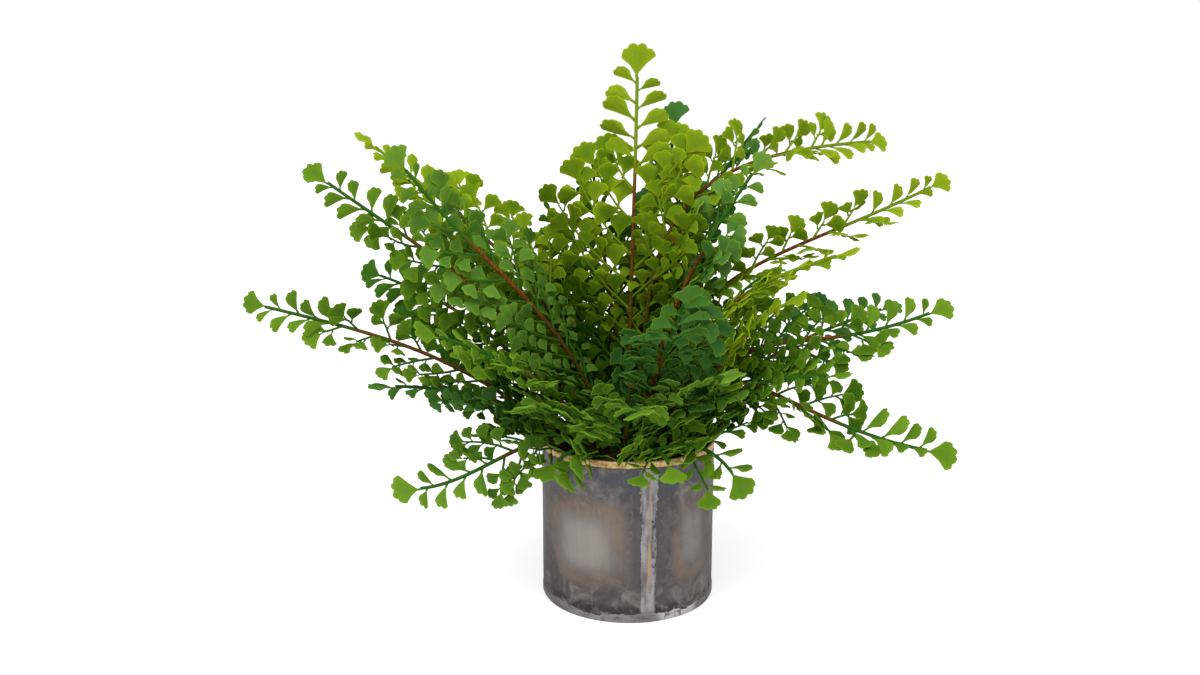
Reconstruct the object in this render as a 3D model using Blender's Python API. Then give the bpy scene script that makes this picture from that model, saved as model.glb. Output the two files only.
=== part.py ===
"""Maidenhair fern in a soldered sheet steel pot: pot, brazed rim bead, soil and fronds."""
import math

import bmesh
import bpy
from mathutils import Matrix, Vector
from mathutils.bvhtree import BVHTree

# Pot: sheet steel tube with a lapped, soldered seam and a soldered foot
POT_RADIUS = 0.0643
POT_HEIGHT = 0.119
WALL_OUTSIDE = 0.0639
WALL_THICKNESS = 0.0013
FLOOR_THICKNESS = 0.0015
FOOT_BAND_HEIGHT = 0.0076
POT_SIDES = 48
SEAM_TURN = -78.0            # degrees, a little right of the front
SEAM_HALF_WIDTH = 0.0068
SEAM_PROUD = 0.0008

# Brass brazing bead along the pot's cut edge
BEAD_HEIGHT = 0.0052
BEAD_INSIDE = 0.0615
BEAD_SIDES = 36

# Soil
SOIL_EDGE_TOP = 0.1015
SOIL_CROWN = 0.0055
SOIL_SIDES = 24
SOIL_RINGS = (0.0, 0.018, 0.040)
SOIL_LUMP = 0.0009
HOLE_WIDTH = 0.0041           # square, as the stems are
HOLE_DEPTH = 0.0140
HOLE_OVERSHOOT = 0.010        # how far a hole's cutter stands out of the soil

CLEARANCE = 0.0003
SHARP_EDGE = 35.0            # degrees, where smooth shading stops

# Fronds: stem and rib, in metres
STEM_FOOT_WIDTH = 0.0033
STEM_TIP_WIDTH = 0.0021
LEAF_THICKNESS = 0.0007
FOOT_RISE = 0.0012           # the stem stands upright this far out of the soil

# Leaflets along the rib, measured from where the leafy part starts
PINNA_STEP = 0.039
LOWEST_PINNA = 0.026
PINNA_TO_SINGLES = 0.024
SINGLE_STEP = 0.013
SINGLE_PAIRS = 4
SINGLE_LENGTH = 0.0185
SINGLE_WIDTH = 0.0110
SHORT_FROND = 0.150          # a frond up to this long has one pair fewer
UPRIGHT_REACH = 0.050        # a frond that stands over the middle has longer sprigs
TERMINAL_LENGTH = 0.0200
PINNA_ANGLE = 50.0           # degrees between rib and pinna
PINNA_FIRST = 0.0125
PINNA_DROOP = -0.06          # fall of a pinna for each metre along it
PINNA_LEAF_STEP = 0.013
PINNA_LEAF_LENGTH = 0.0145
PINNA_LEAF_WIDTH = 0.0118
PINNA_TERMINAL = 0.0155
TERMINAL_OUTLINE = ((0.55, -0.42), (0.96, -0.30), (1.0, 0.20), (0.62, 0.44))
PINNA_TERMINAL_OUTLINE = ((0.66, -0.46), (1.0, 0.04), (0.66, 0.46))
ATTACH = 0.0034              # how much of the rib a leaflet or pinna grows from
LEAF_SLANT = 64.0            # degrees between a rib and its leaflets
LEAF_TILT = 0.0010           # a leaflet's near corner hangs and its far one lifts by this
LIMB_BENDS = (0, 12, -12, 24, -24, 36, -36, 50, -50)
LIMB_SIZES = (1.0, 0.82)

# turn and reach place the tip round the pot and height is the tip's own; rise and dip are the
# slopes of the stem and of the tip; handle is how far the stem holds them, as a share of foot to
# tip; roll turns the blade about its rib; foot is the stem's distance from the middle, at its own
# turn; pinnae are the pairs of side sprigs
FROND_FIELDS = ("turn", "reach", "height", "rise", "dip", "handle", "roll", "foot", "foot_turn",
                "pinnae", "tone")
FRONDS = (
    # upright in the middle
    (80, 0.038, 0.399, 88, 86, 0.42, 0, 0.004, 90, 4, "bright"),
    (60, 0.072, 0.363, 82, 84, 0.42, -10, 0.012, 50, 3, "dark"),
    (112, 0.074, 0.325, 80, 74, 0.42, 0, 0.014, 95, 2, "dark"),
    (130, 0.100, 0.292, 78, 64, 0.42, -20, 0.020, 115, 2, "dark"),
    (150, 0.094, 0.285, 80, 76, 0.42, -30, 0.022, 132, 2, "bright"),
    # left, top to bottom
    (160, 0.222, 0.340, 74, 36, 0.42, -45, 0.016, 150, 4, "bright"),
    (190, 0.167, 0.331, 76, 56, 0.42, -50, 0.013, 195, 3, "mid"),
    (178, 0.232, 0.316, 64, 36, 0.42, -45, 0.022, 172, 4, "mid"),
    (155, 0.238, 0.230, 50, 12, 0.42, -50, 0.034, 155, 3, "dark"),
    (182, 0.280, 0.222, 42, 14, 0.42, -58, 0.036, 182, 4, "mid"),
    (190, 0.188, 0.165, 54, 4, 0.42, -5, 0.044, 195, 2, "dark"),
    (215, 0.170, 0.218, 58, 22, 0.42, 10, 0.024, 218, 3, "bright"),
    (208, 0.180, 0.112, 64, 25, 0.42, -40, 0.044, 212, 3, "mid"),
    # right, top to bottom
    (25, 0.231, 0.333, 96, 2, 0.60, 40, 0.018, 30, 4, "bright"),
    (45, 0.158, 0.350, 80, 35, 0.42, -30, 0.020, 62, 2, "dark"),
    (350, 0.097, 0.328, 84, 56, 0.42, 30, 0.011, 345, 3, "mid"),
    (3, 0.235, 0.310, 88, 28, 0.50, 56, 0.020, 5, 4, "bright"),
    (332, 0.169, 0.268, 64, 20, 0.58, -8, 0.022, 325, 3, "bright"),
    (325, 0.142, 0.238, 56, 22, 0.42, 20, 0.032, 335, 2, "bright"),
    (20, 0.235, 0.206, 46, 14, 0.42, 40, 0.036, 22, 3, "dark"),
    (357, 0.233, 0.221, 70, 26, 0.58, 40, 0.034, 0, 4, "mid"),
    (332, 0.167, 0.184, 80, 8, 0.42, 20, 0.044, 332, 2, "dark"),
    (345, 0.232, 0.123, 84, -2, 0.64, 40, 0.044, 345, 4, "mid"),
    # front, towards the viewer and over the rim
    (284, 0.140, 0.252, 66, 48, 0.42, 0, 0.022, 285, 3, "dark"),
    (272, 0.130, 0.168, 60, -6, 0.42, 0, 0.034, 262, 2, "mid"),
    (240, 0.090, 0.106, 72, -62, 0.42, 0, 0.040, 240, 2, "mid"),
    (287, 0.100, 0.110, 72, -60, 0.42, 0, 0.042, 284, 2, "mid"),
    (314, 0.104, 0.104, 74, -60, 0.42, 0, 0.042, 314, 2, "mid"),
    (233, 0.125, 0.165, 60, 0, 0.42, 0, 0.034, 232, 2, "dark"),
    (300, 0.135, 0.190, 62, 5, 0.42, 0, 0.030, 302, 2, "dark"),
    # behind
    (125, 0.212, 0.235, 58, 10, 0.42, 0, 0.036, 125, 4, "mid"),
    (80, 0.200, 0.212, 58, 5, 0.42, 0, 0.036, 82, 3, "bright"),
    (48, 0.195, 0.225, 58, 12, 0.42, 0, 0.036, 50, 3, "mid"),
    (102, 0.160, 0.125, 64, -30, 0.42, 0, 0.046, 104, 2, "dark"),
    (62, 0.160, 0.130, 64, -30, 0.42, 0, 0.046, 64, 2, "mid"),
)


def clear_scene():
    for obj in list(bpy.data.objects):
        bpy.data.objects.remove(obj, do_unlink=True)


def material(name, colour, roughness, metallic):
    mat = bpy.data.materials.new(name)
    mat.use_nodes = True
    shader = mat.node_tree.nodes["Principled BSDF"]
    shader.inputs["Base Color"].default_value = (*colour, 1.0)
    shader.inputs["Roughness"].default_value = roughness
    shader.inputs["Metallic"].default_value = metallic
    return mat


def finish(bm, name, mat):
    mesh = bpy.data.meshes.new(name)
    bm.to_mesh(mesh)
    bm.free()
    mesh.materials.append(mat)
    obj = bpy.data.objects.new(name, mesh)
    bpy.context.scene.collection.objects.link(obj)
    return obj


def smooth(obj):
    """Shade a round piece smooth between its sharp edges."""
    obj.data.shade_smooth()
    obj.data.set_sharp_from_angle(angle=math.radians(SHARP_EDGE))
    return obj


def turned(profile, steps, start_turn=0.0):
    """A bmesh turned about Z from (radius, height) points that start and end on the axis or meet."""
    bm = bmesh.new()
    start = Matrix.Rotation(math.radians(start_turn), 3, "Z")
    verts = [bm.verts.new(start @ Vector((radius, 0.0, height))) for radius, height in profile]
    edges = [bm.edges.new(pair) for pair in zip(verts, verts[1:])]
    bmesh.ops.spin(bm, geom=verts + edges, cent=(0, 0, 0), axis=(0, 0, 1),
                   angle=math.tau, steps=steps, use_merge=True)
    bmesh.ops.remove_doubles(bm, verts=bm.verts, dist=0.00001)
    bmesh.ops.recalc_face_normals(bm, faces=bm.faces)
    return bm


def polar(radius, turn, height=0.0):
    angle = math.radians(turn)
    return Vector((radius * math.cos(angle), radius * math.sin(angle), height))


# ---- pot ----

def make_pot(mat):
    wall_top = POT_HEIGHT - BEAD_HEIGHT - CLEARANCE
    inside = WALL_OUTSIDE - WALL_THICKNESS
    profile = (
        (0.0, 0.0),
        (POT_RADIUS - 0.0014, 0.0),
        (POT_RADIUS, 0.0012),
        (POT_RADIUS, FOOT_BAND_HEIGHT),
        (WALL_OUTSIDE, FOOT_BAND_HEIGHT + 0.0006),
        (WALL_OUTSIDE, wall_top),
        (inside, wall_top),
        (inside, FLOOR_THICKNESS),
        (0.0, FLOOR_THICKNESS),
    )
    bm = turned(profile, POT_SIDES, SEAM_TURN)
    raise_seam(bm)
    return smooth(finish(bm, "pot", mat))


def raise_seam(bm):
    """Draw the columns beside the seam in to its width and lift the three over it."""
    step = 360.0 / POT_SIDES
    half_angle = math.degrees(SEAM_HALF_WIDTH / WALL_OUTSIDE)
    for vert in bm.verts:
        radius = vert.co.xy.length
        if radius < 0.001:
            continue
        turn = math.degrees(math.atan2(vert.co.y, vert.co.x)) - SEAM_TURN
        turn = (turn + 180.0) % 360.0 - 180.0
        column = round(turn / step)
        if abs(column) > 2:
            continue
        if abs(column) == 2:
            turn = math.copysign(half_angle + 1.0, turn)
        elif abs(column) == 1:
            turn = math.copysign(half_angle - 0.4, turn)
        if abs(column) < 2 and radius > WALL_OUTSIDE - 0.0001 and vert.co.z > FOOT_BAND_HEIGHT:
            radius += SEAM_PROUD
        vert.co = polar(radius, turn + SEAM_TURN, vert.co.z)


def make_bead(mat):
    low = POT_HEIGHT - BEAD_HEIGHT
    profile = (
        (BEAD_INSIDE + 0.0006, low),
        (POT_RADIUS, low),
        (POT_RADIUS - 0.0001, POT_HEIGHT - 0.0007),
        (POT_RADIUS - 0.0009, POT_HEIGHT),
        (BEAD_INSIDE + 0.0004, POT_HEIGHT - 0.0001),
        (BEAD_INSIDE, POT_HEIGHT - 0.0010),
        (BEAD_INSIDE + 0.0006, low),
    )
    return smooth(finish(turned(profile, BEAD_SIDES), "rim_bead", mat))


# ---- soil ----

def soil_height(radius):
    """Top of the soil, crowned in the middle."""
    share = radius / WALL_OUTSIDE
    return SOIL_EDGE_TOP + SOIL_CROWN * (1.0 - share * share)


def make_soil(mat, ribs):
    outside = WALL_OUTSIDE - WALL_THICKNESS - 2 * CLEARANCE
    floor = FLOOR_THICKNESS + CLEARANCE
    profile = [(0.0, floor), (outside, floor), (outside, soil_height(outside))]
    profile += [(radius, soil_height(radius)) for radius in reversed(SOIL_RINGS)]
    bm = turned(profile, SOIL_SIDES)
    for vert in bm.verts:
        radius = vert.co.xy.length
        if vert.co.z > SOIL_EDGE_TOP and 0.001 < radius < outside - 0.001:
            vert.co.z += SOIL_LUMP * math.sin(9 * math.atan2(vert.co.y, vert.co.x) + 180 * radius)
    soil = finish(bm, "soil", mat)
    cutters = bpy.data.collections.new("stem_holes")
    bpy.context.scene.collection.children.link(cutters)
    height = HOLE_DEPTH + HOLE_OVERSHOOT
    for rib in ribs:
        hole = bmesh.new()
        middle = rib.foot.z - HOLE_DEPTH + height / 2
        place = Matrix.Translation((rib.foot.x, rib.foot.y, middle))
        place = place @ Matrix.Rotation(math.radians(rib.row["turn"]), 4, "Z")
        size = Matrix.Diagonal((HOLE_WIDTH, HOLE_WIDTH, height, 1.0))
        bmesh.ops.create_cube(hole, size=1.0, matrix=place @ size)
        cutter = finish(hole, "stem_hole", mat)
        bpy.context.scene.collection.objects.unlink(cutter)
        cutters.objects.link(cutter)
    cut = soil.modifiers.new("stem holes", "BOOLEAN")
    cut.operation = "DIFFERENCE"
    cut.operand_type = "COLLECTION"
    cut.collection = cutters
    apply_modifiers(soil)
    for cutter in list(cutters.objects):
        bpy.data.objects.remove(cutter, do_unlink=True)
    bpy.data.collections.remove(cutters)
    return soil


def apply_modifiers(obj):
    depsgraph = bpy.context.evaluated_depsgraph_get()
    mesh = bpy.data.meshes.new_from_object(obj.evaluated_get(depsgraph))
    obj.modifiers.clear()
    obj.data = mesh


# ---- fronds ----

class Sheet:
    """A thin sheet of triangles whose points carry a normal and half a thickness."""

    def __init__(self):
        self.points = []
        self.triangles = []

    def point(self, place, normal, half):
        self.points.append((place, normal, half))
        return len(self.points) - 1

    def fan(self, *corners):
        """Triangles from the first corner across a convex run of corners."""
        for second, third in zip(corners[1:], corners[2:]):
            self.triangles.append((corners[0], second, third))

    def solid(self, grow=0.0):
        """Points and triangles of the sheet with both faces and its rim."""
        above = [place + normal * (half + grow) for place, normal, half in self.points]
        below = [place - normal * (half + grow) for place, normal, half in self.points]
        count = len(self.points)
        faces = []
        edges = {}
        for a, b, c in self.triangles:
            faces.append((a, b, c))
            faces.append((count + c, count + b, count + a))
            for start, end in ((a, b), (b, c), (c, a)):
                edges[start, end] = True
        for start, end in edges:
            if (end, start) not in edges:
                faces.append((end, start, count + start))
                faces.append((end, count + start, count + end))
        return above + below, faces

    def tree(self, grow=0.0):
        points, faces = self.solid(grow)
        return BVHTree.FromPolygons(points, faces)


class Frame:
    """Place, direction, side and upper normal at one station of a rib."""

    def __init__(self, place, ahead, side, normal):
        self.place = place
        self.ahead = ahead
        self.side = side
        self.normal = normal

    def at(self, ahead=0.0, side=0.0, up=0.0):
        return self.place + self.ahead * ahead + self.side * side + self.normal * up


class Rib:
    """The curve of one frond, from its foot in the soil to its tip."""

    def __init__(self, row):
        self.row = row
        self.side = polar(1.0, row["turn"] + 90)
        foot = polar(row["foot"], row["foot_turn"])
        self.foot = Vector((foot.x, foot.y, soil_height(row["foot"])))
        self.exit = self.foot + Vector((0, 0, FOOT_RISE))
        tip = polar(row["reach"], row["turn"], row["height"])
        span = (tip - self.exit).length * row["handle"]
        rise = math.radians(row["rise"])
        dip = math.radians(row["dip"])
        out = polar(1.0, row["turn"])
        up = Vector((0, 0, 1))
        start = out * math.cos(rise) + up * math.sin(rise)
        end = out * math.cos(dip) + up * math.sin(dip)
        self.controls = (self.exit, self.exit + start * span, tip - end * span, tip)
        self.table = [self.curve(i / 200) for i in range(201)]
        self.lengths = [0.0]
        for before, after in zip(self.table, self.table[1:]):
            self.lengths.append(self.lengths[-1] + (after - before).length)
        self.length = self.lengths[-1]

    def curve(self, t):
        a, b, c, d = self.controls
        s = 1.0 - t
        return a * s ** 3 + b * (3 * s * s * t) + c * (3 * s * t * t) + d * t ** 3

    def parameter(self, distance):
        distance = min(max(distance, 0.0), self.length)
        for i in range(200):
            if self.lengths[i + 1] >= distance:
                span = self.lengths[i + 1] - self.lengths[i]
                return (i + (distance - self.lengths[i]) / span) / 200
        return 1.0

    def frame(self, distance):
        t = self.parameter(distance)
        low, high = max(t - 0.004, 0.0), min(t + 0.004, 1.0)
        ahead = (self.curve(high) - self.curve(low)).normalized()
        side = (self.side - ahead * ahead.dot(self.side)).normalized()
        turn = math.radians(self.row["roll"]) * min(1.0, 2.5 * distance / self.length)
        side = Matrix.Rotation(turn, 3, ahead) @ side
        return Frame(self.curve(t), ahead, side, ahead.cross(side))

    def half(self, distance):
        share = distance / self.length
        return (STEM_FOOT_WIDTH + (STEM_TIP_WIDTH - STEM_FOOT_WIDTH) * share) / 2


def leaflet(sheet, near, far, frame, side, start, length, width):
    """A fan leaflet that grows from the rib's edge between two points already in the sheet."""
    slant = math.radians(LEAF_SLANT)
    reach_out = math.sin(slant) * length
    reach_on = start + ATTACH / 2 + math.cos(slant) * length
    half = LEAF_THICKNESS / 2
    inner = frame.at(reach_on - width * 0.56, side * (reach_out * 1.02), -LEAF_TILT)
    outer = frame.at(reach_on + width * 0.44, side * (reach_out * 0.86), LEAF_TILT)
    inner = sheet.point(inner, frame.normal, half)
    outer = sheet.point(outer, frame.normal, half)
    if side > 0:
        sheet.fan(near, far, outer, inner)
    else:
        sheet.fan(near, inner, outer, far)


def terminal(sheet, left, right, frame, length, outline):
    """The fan leaflet at the end of a rib."""
    half = LEAF_THICKNESS / 2
    corners = []
    for along, across in outline:
        corners.append(sheet.point(frame.at(along * length, across * length), frame.normal, half))
    sheet.fan(left, right, *corners)


def pinna(rib_frame, side, near, far, half, pairs, bend, size):
    """A side sprig: a sheet whose first two points are its root on the rib's edge."""
    angle = math.radians(PINNA_ANGLE) * side
    bent = Matrix.Rotation(math.radians(bend) * side, 3, rib_frame.ahead)
    side_way = bent @ rib_frame.side
    normal = bent @ rib_frame.normal
    ahead = rib_frame.ahead * math.cos(angle) + side_way * math.sin(angle)
    across = normal.cross(ahead)
    frame = Frame((near + far) / 2, ahead, across, normal)
    sheet = Sheet()
    root = (sheet.point(near, rib_frame.normal, half), sheet.point(far, rib_frame.normal, half))
    left, right = (root[1], root[0]) if side < 0 else (root[0], root[1])
    slim = STEM_TIP_WIDTH / 2
    stations = [PINNA_FIRST + i * PINNA_LEAF_STEP for i in range(pairs)]
    for start in stations:
        rows = []
        for along in (start * size, start * size + ATTACH):
            drop = PINNA_DROOP * along
            rows.append((sheet.point(frame.at(along, slim, drop), normal, slim),
                         sheet.point(frame.at(along, -slim, drop), normal, slim)))
        sheet.fan(left, right, rows[0][1], rows[0][0])
        sheet.fan(rows[0][0], rows[0][1], rows[1][1], rows[1][0])
        local = Frame(frame.at(0, 0, PINNA_DROOP * start * size), ahead, across, normal)
        for way, index in ((1, 0), (-1, 1)):
            leaflet(sheet, rows[0][index], rows[1][index], local, way, start * size,
                    PINNA_LEAF_LENGTH * size, PINNA_LEAF_WIDTH * size)
        left, right = rows[1]
    reach_end = (stations[-1] + 2 * ATTACH) * size
    end = Frame(frame.at(reach_end, 0, PINNA_DROOP * reach_end), ahead, across, normal)
    terminal(sheet, left, right, end, PINNA_TERMINAL * size, PINNA_TERMINAL_OUTLINE)
    return sheet


def single(rib_frame, side, near, far, half, bend, size):
    """One leaflet on the rib near the tip, bent about the rib."""
    bent = Matrix.Rotation(math.radians(bend) * side, 3, rib_frame.ahead)
    middle = (near + far) / 2
    frame = Frame(middle - rib_frame.ahead * ATTACH / 2, rib_frame.ahead,
                  bent @ rib_frame.side, bent @ rib_frame.normal)
    sheet = Sheet()
    first = sheet.point(near, rib_frame.normal, half)
    second = sheet.point(far, rib_frame.normal, half)
    leaflet(sheet, first, second, frame, side, 0.0, SINGLE_LENGTH * size, SINGLE_WIDTH * size)
    return sheet


def crosses(sheet, obstacles):
    tree = sheet.tree(CLEARANCE / 2)
    return any(tree.overlap(other) for other in obstacles)


def clear_limb(make, obstacles):
    """The limb at the first bend that clears its neighbours, then at a smaller size."""
    for size in LIMB_SIZES:
        for bend in LIMB_BENDS:
            sheet = make(bend, size)
            if not crosses(sheet, obstacles):
                return sheet
    return None


def leafy_plan(rib):
    """Stations along the rib: where each pair starts, and how many leaflet pairs it carries."""
    row = rib.row
    tip_start = rib.length - TERMINAL_LENGTH
    count = SINGLE_PAIRS if rib.length > SHORT_FROND else SINGLE_PAIRS - 1
    singles = [tip_start - SINGLE_STEP * (count - i) for i in range(count)]
    last = singles[0] - PINNA_TO_SINGLES
    most = 3 if row["reach"] < UPRIGHT_REACH else 2
    plan = [(last - PINNA_STEP * i, min(most - 1 + i // 2, most)) for i in range(row["pinnae"])]
    plan = [(start, pairs) for start, pairs in reversed(plan) if start > LOWEST_PINNA]
    return plan + [(start, 0) for start in singles]


def stem_sheet(rib, plan):
    """The stem and rib as one strip, with the edge points that each limb grows from."""
    sheet = Sheet()
    first = plan[0][0]
    bare = [first * share for share in (0.0, 0.28, 0.62)]
    stations = [(distance, False) for distance in bare]
    for start, pairs in plan:
        stations += [(start, True), (start + ATTACH, False)]
    half = rib.half(0.0)
    side = rib.side
    foot = rib.foot - Vector((0, 0, HOLE_DEPTH - CLEARANCE))
    upright = Frame(foot, Vector((0, 0, 1)), side, Vector((0, 0, 1)).cross(side))
    left = sheet.point(upright.at(0, half), upright.normal, half)
    right = sheet.point(upright.at(0, -half), upright.normal, half)
    roots = []
    for distance, is_root in stations:
        frame = rib.frame(distance)
        half = rib.half(distance)
        rows = (sheet.point(frame.at(0, half), frame.normal, half),
                sheet.point(frame.at(0, -half), frame.normal, half))
        sheet.fan(left, right, rows[1], rows[0])
        if is_root:
            roots.append(len(sheet.points) - 2)
        left, right = rows
    end = rib.frame(rib.length - TERMINAL_LENGTH)
    terminal(sheet, left, right, end, TERMINAL_LENGTH, TERMINAL_OUTLINE)
    return sheet, roots


def make_limb(rib, sheet, root, plan_entry, side):
    """A function that makes one limb of the frond at a given bend and size."""
    start, pairs = plan_entry
    index = root if side > 0 else root + 1
    near, _, half = sheet.points[index]
    far = sheet.points[index + 2][0]
    frame = rib.frame(start + ATTACH / 2)
    if pairs:
        return lambda bend, size: pinna(frame, side, near, far, half, pairs, bend, size)
    return lambda bend, size: single(frame, side, near, far, half, bend, size)


def graft(sheet, limb, near, far):
    """Add a limb's sheet, whose first two points are near and far in the frond's own."""
    names = {0: near, 1: far}
    for i, point in enumerate(limb.points):
        if i > 1:
            names[i] = sheet.point(*point)
    for triangle in limb.triangles:
        sheet.triangles.append(tuple(names[i] for i in triangle))


def make_fronds(ribs, mats, obstacles):
    plans = [leafy_plan(rib) for rib in ribs]
    stems = [stem_sheet(rib, plan) for rib, plan in zip(ribs, plans)]
    stem_trees = [sheet.tree(CLEARANCE / 2) for sheet, _ in stems]
    placed = list(obstacles)
    dropped = 0
    for number, (rib, plan, (sheet, roots)) in enumerate(zip(ribs, plans, stems)):
        others = [tree for i, tree in enumerate(stem_trees) if i != number]
        own = []
        for entry, root in zip(plan, roots):
            for side in (1, -1):
                make = make_limb(rib, sheet, root, entry, side)
                limb = clear_limb(make, placed + others + own)
                if limb is None:
                    dropped += 1
                    continue
                own.append(limb.tree(CLEARANCE / 2))
                index = root if side > 0 else root + 1
                graft(sheet, limb, index, index + 2)
        placed.append(sheet.tree(CLEARANCE / 2))
        points, faces = sheet.solid()
        bm = bmesh.new()
        verts = [bm.verts.new(point) for point in points]
        for face in faces:
            bm.faces.new([verts[i] for i in face])
        finish(bm, "frond_%02d" % (number + 1), mats[rib.row["tone"]])
    print("limbs left out:", dropped)


def build():
    clear_scene()
    steel = material("aged steel", (0.16, 0.145, 0.14), 0.42, 0.85)
    brass = material("brass", (0.50, 0.34, 0.16), 0.40, 0.9)
    earth = material("soil", (0.035, 0.024, 0.016), 0.95, 0.0)
    tones = {"bright": (0.18, 0.36, 0.02), "mid": (0.07, 0.21, 0.025), "dark": (0.03, 0.13, 0.03)}
    greens = {tone: material("leaf " + tone, colour, 0.5, 0.0) for tone, colour in tones.items()}
    solids = [make_pot(steel), make_bead(brass)]
    ribs = [Rib(dict(zip(FROND_FIELDS, row))) for row in FRONDS]
    solids.append(make_soil(earth, ribs))
    obstacles = []
    for solid in solids:
        mesh = solid.data
        points = [vert.co for vert in mesh.vertices]
        faces = [tuple(face.vertices) for face in mesh.polygons]
        obstacles.append(BVHTree.FromPolygons(points, faces))
    make_fronds(ribs, greens, obstacles)


build()
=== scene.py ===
import bisect
import math
import random

import bmesh
import bpy
from mathutils import Matrix, Vector, noise


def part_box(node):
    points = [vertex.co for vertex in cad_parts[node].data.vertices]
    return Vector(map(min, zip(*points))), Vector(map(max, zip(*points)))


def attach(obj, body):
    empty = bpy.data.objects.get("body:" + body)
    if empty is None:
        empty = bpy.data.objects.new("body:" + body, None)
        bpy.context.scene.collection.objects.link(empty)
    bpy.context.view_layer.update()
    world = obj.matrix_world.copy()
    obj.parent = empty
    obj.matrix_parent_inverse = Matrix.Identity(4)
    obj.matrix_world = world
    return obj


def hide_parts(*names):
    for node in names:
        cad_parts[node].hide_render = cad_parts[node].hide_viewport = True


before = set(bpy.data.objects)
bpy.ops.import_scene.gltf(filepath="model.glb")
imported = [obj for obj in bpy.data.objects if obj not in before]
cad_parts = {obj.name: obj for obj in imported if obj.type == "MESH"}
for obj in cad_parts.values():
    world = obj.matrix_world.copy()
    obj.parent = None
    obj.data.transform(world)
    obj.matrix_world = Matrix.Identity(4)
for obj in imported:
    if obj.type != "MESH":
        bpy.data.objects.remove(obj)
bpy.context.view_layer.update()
potLow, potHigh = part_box("pot")
beadLow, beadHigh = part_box("rim_bead")
soilLow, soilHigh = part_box("soil")
potRadius = potHigh.x
wallRadius = potRadius - 0.0004  # the solid's foot band stands this much proud of its wall
wallThickness = 0.0013
floorThickness = 0.0015
seamTurn = -78  # degrees round the pot, -90 is straight at the viewer
print("frame loaded:", len(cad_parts), "nodes")


# shared helpers

def polar(radius, turn, height=0.0):
    angle = math.radians(turn)
    return Vector((radius * math.cos(angle), radius * math.sin(angle), height))


def smoothStep(low, high, value):
    share = min(max((value - low) / (high - low), 0.0), 1.0)
    return share * share * (3 - 2 * share)


def aim(turn, rise):  # a unit vector
    return polar(math.cos(math.radians(rise)), turn, math.sin(math.radians(rise)))


def turnBy(degrees, axis):
    return Matrix.Rotation(math.radians(degrees), 4, axis)


def wobble(place, size, seed=0.0):  # smooth noise between about -1 and 1 that changes over size metres
    return noise.noise(Vector(place) / size + Vector((seed, seed * 1.7, -seed)))


def finishPiece(bm, name, material, sharpAngle=40):
    mesh = bpy.data.meshes.new(name)
    bm.to_mesh(mesh)
    bm.free()
    mesh.materials.append(material)
    mesh.shade_smooth()
    mesh.set_sharp_from_angle(angle=math.radians(sharpAngle))
    piece = bpy.data.objects.new(name, mesh)
    bpy.context.scene.collection.objects.link(piece)
    return piece


def dress(piece, slotName, *nodes):
    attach(piece, "root")
    if nodes:
        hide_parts(*nodes)
    return piece


# materials

class Flow:  # a shader socket that can be added, multiplied and so on
    def __init__(self, tree, socket=None):
        self.tree = tree
        self.socket = socket

    def node(self, kind, settings=None, inputs=None, output=0):
        made = self.tree.nodes.new("ShaderNode" + kind)
        for name, value in (settings or {}).items():
            setattr(made, name, value)
        for name, value in (inputs or {}).items():
            if isinstance(value, Flow):
                self.tree.links.new(value.socket, made.inputs[name])
            else:
                made.inputs[name].default_value = value
        return Flow(self.tree, made.outputs[output])

    def maths(self, operation, *values):
        return self.node("Math", {"operation": operation}, dict(enumerate(values)))

    def __add__(self, other):
        return self.maths("ADD", self, other)

    def __radd__(self, other):
        return self.maths("ADD", other, self)

    def __sub__(self, other):
        return self.maths("SUBTRACT", self, other)

    def __rsub__(self, other):
        return self.maths("SUBTRACT", other, self)

    def __mul__(self, other):
        return self.maths("MULTIPLY", self, other)

    def __rmul__(self, other):
        return self.maths("MULTIPLY", other, self)

    def __truediv__(self, other):
        return self.maths("DIVIDE", self, other)

    def __pow__(self, other):
        return self.maths("POWER", self, other)

    def __abs__(self):
        return self.maths("ABSOLUTE", self)

    def least(self, other):
        return self.maths("MINIMUM", self, other)

    def most(self, other):
        return self.maths("MAXIMUM", self, other)

    def sine(self):
        return self.maths("SINE", self)

    def step(self, low, high, start=0.0, end=1.0):
        inputs = {"Value": self, "From Min": low, "From Max": high, "To Min": start, "To Max": end}
        return self.node("MapRange", {"interpolation_type": "SMOOTHSTEP"}, inputs)

    def blend(self, first, second):  # this socket is the share of the second colour
        settings = {"data_type": "RGBA", "blend_type": "MIX", "clamp_factor": True}
        return self.node("Mix", settings, {0: self, 6: colour(first), 7: colour(second)}, 2)

    def place(self):
        return self.node("TexCoord", output="Object")

    def attribute(self, name):
        return self.node("Attribute", {"attribute_name": name}, output="Fac")

    def part(self, axis):
        return self.node("SeparateXYZ", inputs={0: self}, output=axis)

    def grain(self, place, scale, detail=4.0, rough=0.55, bend=0.0):
        inputs = {"Vector": place, "Scale": scale, "Detail": detail, "Roughness": rough}
        return self.node("TexNoise", inputs={**inputs, "Distortion": bend})

    def squeezed(self, place, scale):  # the same place, drawn out where the scale is small
        return self.node("Mapping", inputs={"Vector": place, "Scale": scale})

    def bump(self, height, strength, distance):
        return self.node("Bump", inputs={"Height": height, "Strength": strength, "Distance": distance})


def colour(value):
    return value if isinstance(value, Flow) else (*value, 1.0)


def newMaterial(name, constants):
    material = bpy.data.materials.new(name)
    material.use_nodes = True
    shader = material.node_tree.nodes["Principled BSDF"]
    for socket, value in constants.items():
        shader.inputs[socket].default_value = value
    return material, Flow(material.node_tree), shader


def feed(material, shader, sockets):
    for name, flow in sockets.items():
        material.node_tree.links.new(flow.socket, shader.inputs[name])
    return material


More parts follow.
